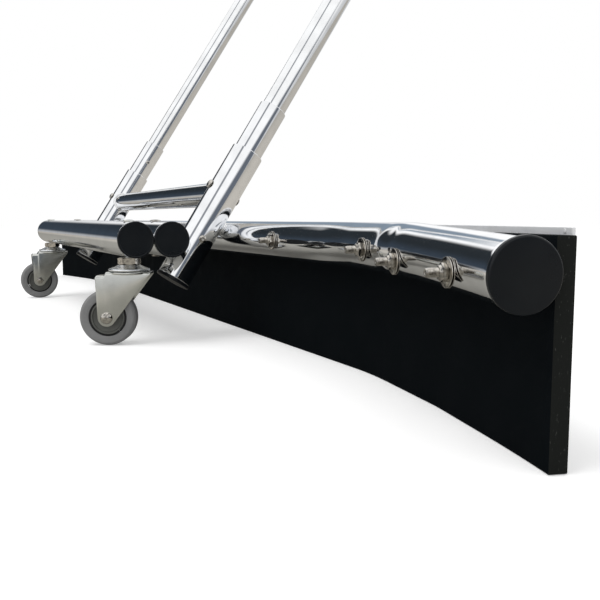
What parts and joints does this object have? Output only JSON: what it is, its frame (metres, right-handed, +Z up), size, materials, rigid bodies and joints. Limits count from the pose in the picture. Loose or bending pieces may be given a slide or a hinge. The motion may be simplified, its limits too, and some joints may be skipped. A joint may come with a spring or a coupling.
{
  "type": "court squeegee",
  "caption": "Wheeled court squeegee: a wide bent aluminium tube carries a rubber blade, with two swivel castors in front and a leaning push handle.",
  "frame": {"origin": "middle of the blade's bottom face, where the blade meets the court", "axes": "+X along the blade, to the right seen from the castor side, +Y towards the person pushing, +Z up"},
  "size_m": [2.097, 0.737, 1.0057],
  "materials": {
    "bright_aluminium": "polished",
    "strip_aluminium": "satin",
    "handle_aluminium": "polished",
    "blade_rubber": "matte",
    "grip_foam": "matte foam",
    "cap_plastic": "satin",
    "bolt_steel": "bright zinc plated",
    "spring_steel": "hardened",
    "zinc": "zinc plated sheet",
    "wheel_tyre": "matte",
    "wheel_ring": "matte",
    "wheel_hub": "satin"
  },
  "bodies": {
    "frame": {"blade_bolt_fourth_left": "bolt_steel", "blade_bolt_fourth_right": "bolt_steel", "blade_bolt_inner_left": "bolt_steel", "blade_bolt_inner_right": "bolt_steel", "blade_bolt_middle": "bolt_steel", "blade_bolt_outer_left": "bolt_steel", "blade_bolt_outer_right": "bolt_steel", "blade_bolt_second_left": "bolt_steel", "blade_bolt_second_right": "bolt_steel", "blade_bolt_third_left": "bolt_steel", "blade_bolt_third_right": "bolt_steel", "brace": "bright_aluminium", "button_spring_left": "spring_steel", "button_spring_right": "spring_steel", "castor_left_bearing": "zinc", "castor_left_spacer": "bolt_steel", "castor_left_stem": "zinc", "castor_right_bearing": "zinc", "castor_right_spacer": "bolt_steel", "castor_right_stem": "zinc", "clamp_strip": "strip_aluminium", "front_cap_left": "cap_plastic", "front_cap_right": "cap_plastic", "front_tube": "bright_aluminium", "handle": "handle_aluminium", "handle_grip": "grip_foam", "main_cap_left": "cap_plastic", "main_cap_right": "cap_plastic", "main_tube": "bright_aluminium", "middle_tube_left": "bright_aluminium", "middle_tube_right": "bright_aluminium", "rear_cap_left": "cap_plastic", "rear_cap_right": "cap_plastic", "rear_tube": "bright_aluminium", "rear_tube_bolt_left": "bolt_steel", "rear_tube_bolt_right": "bolt_steel", "rivet_left": "bolt_steel", "rivet_right": "bolt_steel", "rubber_blade": "blade_rubber", "sleeve_bolt_left": "bolt_steel", "sleeve_bolt_right": "bolt_steel", "sleeve_left": "bright_aluminium", "sleeve_plug_left": "cap_plastic", "sleeve_plug_right": "cap_plastic", "sleeve_right": "bright_aluminium"},
    "castor_right_swivel": {"castor_right_fork": "zinc", "castor_right_axle": "bolt_steel", "castor_right_axle_nut": "bolt_steel"},
    "castor_right_wheel": {"castor_right_tyre": "wheel_tyre", "castor_right_ring": "wheel_ring", "castor_right_hub": "wheel_hub"},
    "snap_button_right_body": {"snap_button_right": "bolt_steel"},
    "castor_left_swivel": {"castor_left_fork": "zinc", "castor_left_axle": "bolt_steel", "castor_left_axle_nut": "bolt_steel"},
    "castor_left_wheel": {"castor_left_tyre": "wheel_tyre", "castor_left_ring": "wheel_ring", "castor_left_hub": "wheel_hub"},
    "snap_button_left_body": {"snap_button_left": "bolt_steel"}
  },
  "joints": [
    {"name": "castor_right_swivel_turn", "type": "hinge", "parent": "frame", "child": "castor_right_swivel", "pos_m": [0.363, -0.20548, 0.105], "axis": [0, 0, 1], "continuous": true},
    {"name": "castor_right_wheel_spin", "type": "hinge", "parent": "castor_right_swivel", "child": "castor_right_wheel", "pos_m": [0.35011, -0.23312, 0.04], "axis": [0.9063, -0.4226, 0], "continuous": true},
    {"name": "castor_left_swivel_turn", "type": "hinge", "parent": "frame", "child": "castor_left_swivel", "pos_m": [-0.363, -0.20548, 0.105], "axis": [0, 0, 1], "continuous": true},
    {"name": "castor_left_wheel_spin", "type": "hinge", "parent": "castor_left_swivel", "child": "castor_left_wheel", "pos_m": [-0.36513, -0.2359, 0.04], "axis": [0.9976, -0.0698, 0], "continuous": true},
    {"name": "snap_button_right_press", "type": "slide", "parent": "frame", "child": "snap_button_right_body", "axis": [1, 0, 0], "range_m": [0, 0.0071], "stiffness_N_per_m": 900, "springref_m": -0.004, "deforming": ["button_spring_right"]},
    {"name": "snap_button_left_press", "type": "slide", "parent": "frame", "child": "snap_button_left_body", "axis": [-1, 0, 0], "range_m": [0, 0.0071], "stiffness_N_per_m": 900, "springref_m": -0.004, "deforming": ["button_spring_left"]}
  ]
}
